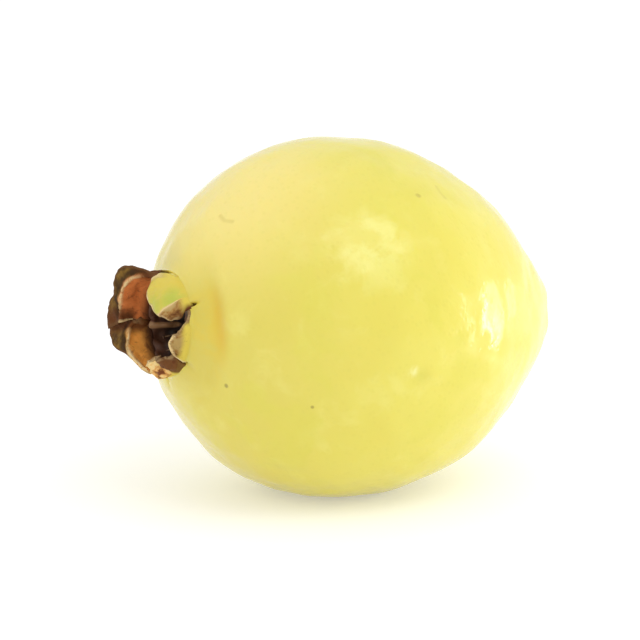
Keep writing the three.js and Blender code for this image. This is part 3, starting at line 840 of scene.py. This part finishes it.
# Angle in degrees, height in mm, how far it sways round the axis, how far it droops outwards, and
# whether it has its anther.
stamens = (
    ("stamen_1", 22, 4.6, 0.5, 0.4, False),
    ("stamen_2", 70, 5.4, -0.6, 0.5, False),
    ("stamen_3", 116, 4.4, 0.7, 0.4, True),
    ("stamen_4", 158, 4.8, -0.4, 0.5, False),
    ("stamen_5", 204, 4.2, 0.6, 0.4, True),
    ("stamen_6", 262, 4.4, -0.5, 0.4, False),
    ("stamen_7", 322, 4.0, 0.4, 0.4, False),
)
stamen_foot, stamen_ring, filament_radius = disc_bottom + 0.9, 4.75, 0.15
steps, sides = 60, 12
filaments = []
for node, turned, height, sway, droop, has_anther in stamens:
    t = np.linspace(0, 1, steps)
    turn = math.radians(turned) + sway * (0.10 * np.sin(math.pi * t) + 0.22 * t ** 2)
    bend = stamen_ring + droop * t ** 2 + 0.12 * np.sin(5 * t + turned)
    spine = place(turn, bend, stamen_foot + height * (t - 0.12 * t ** 3))
    anther = between(0.90, 0.94, t) * between(1.0, 0.985, t)
    thick = filament_radius - 0.07 * t + 0.15 * anther * has_anther + 0.02 * np.sin(23 * t + turned)
    thick = thick * np.clip(np.minimum(t * 30 + 0.3, (1.0 - t) * 40 + 0.15), 0, 1)
    heading = np.gradient(spine, axis=0)
    heading /= np.linalg.norm(heading, axis=1)[:, None]
    first = np.cross(heading, place_at(turned, 1.0, 0.0) - place(0.0, 0.0, 0.0))
    first /= np.linalg.norm(first, axis=1)[:, None]
    second = np.cross(heading, first)
    ring = np.linspace(0, 2 * math.pi, sides, endpoint=False)
    tube = spine[:, None] + thick[:, None, None] * (
        np.cos(ring)[None, :, None] * first[:, None] + np.sin(ring)[None, :, None] * second[:, None]
    )
    points = np.concatenate([spine[:1], tube.reshape(-1, 3), spine[-1:]])
    faces = [face[::-1] for face in turned_body(steps, sides)]
    shrivelled = np.concatenate([[0], np.repeat(anther, sides), [0]]) * has_anther
    filament = grid_mesh(node + "_dried", points, faces, {"anther": shrivelled})
    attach(filament, "root")
    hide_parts(node)
    filaments.append(filament)

wiry = Finish("dry_filament")
streak = wiry.noise(0.0004, 3.0)
filament_dark, filament_tan, anther_brown = (0.15, 0.08, 0.040), (0.42, 0.27, 0.14), (0.10, 0.045, 0.02)
filament_tint = wiry.mix(filament_dark, filament_tan, streak.ramp(0.35, 0.65))
filament_tint = wiry.mix(filament_tint, anther_brown, wiry.mark("anther"))
wiry.surface(filaments, {
    "Base Color": filament_tint,
    "Roughness": 0.8,
    "Normal": wiry.bump(0.4, 0.0001, streak),
})


# ---------------------------------------------------------------------------------------------
# Stalk stub. Where the fruit was picked, a corky plug of its stalk stays in the dimple: a raised
# dark ring of bark round a paler, hollow, broken core.
# ---------------------------------------------------------------------------------------------

stub_floor = -stalk_length + dimple_depth + 0.5
stub = turned_piece(
    "corky_stalk_stub", "stalk_stub", stub_floor,
    [(0, 0), (2.15, 0), (2.15, -0.75), (1.95, -1.25),
     (1.55, -1.42), (1.25, -1.2), (0.8, -0.95), (0, -1.0)],
    120,
    (lambda at, turn, reach: 0.07 * np.sin(7 * turn + 1) + 0.05 * waves(at, 1.1, 81),
     lambda at, turn, reach: 0.07 * waves(at, 0.8, 82) + 0.05 * waves(at, 0.4, 83)),
)
corky = Finish("corky_stalk")
cork_grain = corky.noise(0.0006, 5.0, 0.65, 0.3)
core_brown, core_tan = (0.36, 0.25, 0.12), (0.56, 0.43, 0.23)
bark_dark, bark_brown = (0.075, 0.042, 0.020), (0.20, 0.125, 0.06)
core_tint = corky.mix(core_brown, core_tan, cork_grain.ramp(0.35, 0.65))
bark_tint = corky.mix(bark_dark, bark_brown, cork_grain.ramp(0.4, 0.7))
corky.surface([stub], {
    "Base Color": corky.mix(core_tint, bark_tint, corky.mark("reach").ramp(1.05, 1.5)),
    "Roughness": 0.85,
    "Normal": corky.bump(0.7, 0.0003, cork_grain),
})


# ---------------------------------------------------------------------------------------------
# Floor, light and camera. A pale floor under a soft bright room, with a tall window of four panes
# at the stalk end and a broad lamp overhead, and a long lens from the near flower side.
# ---------------------------------------------------------------------------------------------

bpy.ops.mesh.primitive_circle_add(vertices=64, radius=4, fill_type="NGON", location=(0, 0, 0))
floor = bpy.context.object
floor.name = "floor"


def ray(finish, kind):
    """1 on the rays of one kind, such as the camera's own."""
    return finish.node("ShaderNodeLightPath", output=f"Is {kind} Ray")


def glowing(finish, colour, glow, strength):
    """A plain matt surface with a little light of its own."""
    return finish.node("ShaderNodeAddShader", None, {
        0: finish.node("ShaderNodeBsdfDiffuse", None, {"Color": (*colour, 1)}),
        1: finish.node("ShaderNodeEmission", None, {"Color": (*glow, 1), "Strength": strength}),
    })


# The floor shows white to the camera and in reflections, and throws a plain light on the fruit.
table = Finish("pale_floor")
seen = ray(table, "Camera").most(ray(table, "Glossy")).most(ray(table, "Transmission"))
plain = glowing(table, (0.86, 0.86, 0.84), (1, 0.98, 0.9), 0.115)
lifted = glowing(table, (0.80, 0.80, 0.80), (1, 1, 1), 0.34)
table_top = table.node("ShaderNodeMixShader", None, {0: seen, 1: plain, 2: lifted})
table.node("ShaderNodeOutputMaterial", None, {"Surface": table_top})
floor.data.materials.append(table.block)

# The room shows white to the camera too, and is a little dimmer as a light.
room = Finish("bright_room", bpy.data.worlds)
bpy.context.scene.world = room.block
fill, white = (
    room.node("ShaderNodeBackground", None, {"Color": (1, 1, 1, 1), "Strength": strength})
    for strength in (0.89, 1.0)
)
shown = ray(room, "Camera").most(ray(room, "Transmission"))
walls = room.node("ShaderNodeMixShader", None, {0: shown, 1: fill, 2: white})
room.node("ShaderNodeOutputWorld", None, {"Surface": walls})


def softbox(name, middle, facing, width, height, radiance):
    """A rectangular lamp at a place, turned the way it faces."""
    light = bpy.data.lights.new(name, "AREA")
    light.shape, light.size, light.size_y = "RECTANGLE", width, height
    light.energy = radiance * math.pi * width * height
    lamp = bpy.data.objects.new(name, light)
    bpy.context.collection.objects.link(lamp)
    lamp.location = middle
    lamp.rotation_euler = (-Vector(facing)).to_track_quat("Z", "Y").to_euler()
    lamp.visible_camera = False


window_x = 0.105
for pane, y, z, width, height, radiance in (
    ("left", -0.0865, 0.030, 0.005, 0.050, 8.5),
    ("middle", -0.0475, 0.025, 0.011, 0.034, 12.0),
    ("next", -0.034, 0.031, 0.007, 0.036, 5.0),
    ("right", -0.009, 0.027, 0.006, 0.022, 2.6),
):
    softbox(f"window_{pane}_pane", (window_x, y, z), (-1, 0, 0), width, height, radiance)
softbox("overhead", (0.14, -0.51, 0.86), (-0.14, 0.51, -0.86), 0.72, 0.50, 1.35)

target = Vector((-0.003, 0, 0.0262))
azimuth, elevation, distance = math.radians(-27), math.radians(13), 0.7
back = Vector((
    math.sin(azimuth) * math.cos(elevation),
    -math.cos(azimuth) * math.cos(elevation),
    math.sin(elevation),
))
camera = bpy.data.cameras.new("camera")
camera.sensor_width, camera.lens = 36, 262
eye = bpy.data.objects.new("camera", camera)
bpy.context.collection.objects.link(eye)
eye.location = target + back * distance
eye.rotation_euler = back.to_track_quat("Z", "Y").to_euler()
bpy.context.scene.camera = eye
bpy.context.scene.view_settings.view_transform = "Standard"
